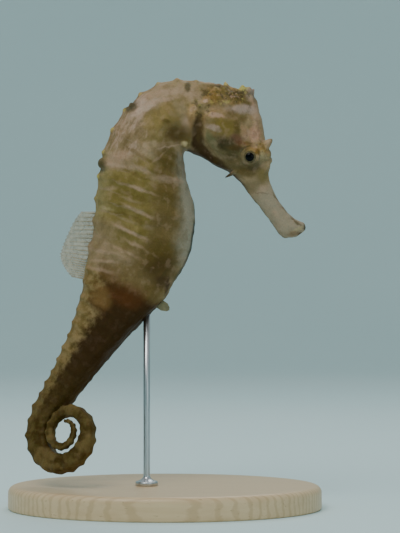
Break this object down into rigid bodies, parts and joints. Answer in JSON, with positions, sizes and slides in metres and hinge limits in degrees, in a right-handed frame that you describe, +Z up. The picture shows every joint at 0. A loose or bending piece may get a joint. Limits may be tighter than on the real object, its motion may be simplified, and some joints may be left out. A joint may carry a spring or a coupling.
{
  "type": "seahorse model on stand",
  "caption": "Life-size three-spot seahorse, upright with bowed head and tail curled into a spiral, held by a thin rod on a flat oval base.",
  "frame": {"origin": "middle of the underside of the oval base", "axes": "+X the way the animal faces, +Y its left side, +Z up; the base rests on the plane Z = 0"},
  "size_m": [0.066, 0.048, 0.0905],
  "materials": {
    "skin": "matt, slightly moist",
    "fin": "thin translucent membrane",
    "eye": "wet gloss",
    "base_wood": "satin oiled",
    "rod_steel": "satin"
  },
  "bodies": {
    "root": {"head": "skin", "coronet": "skin", "snout": "skin", "eye_right": "eye", "eye_left": "eye", "pectoral_fin_right": "fin", "pectoral_fin_left": "fin", "neck": "skin", "trunk_upper": "skin", "trunk_lower": "skin", "tail_1": "skin", "tail_2": "skin", "tail_3": "skin", "tail_4": "skin", "tail_5": "skin", "tail_6": "skin", "tail_7": "skin", "tail_8": "skin", "dorsal_fin": "fin", "anal_fin": "fin", "stand_base": "base_wood", "stand_rod": "rod_steel"}
  },
  "joints": []
}
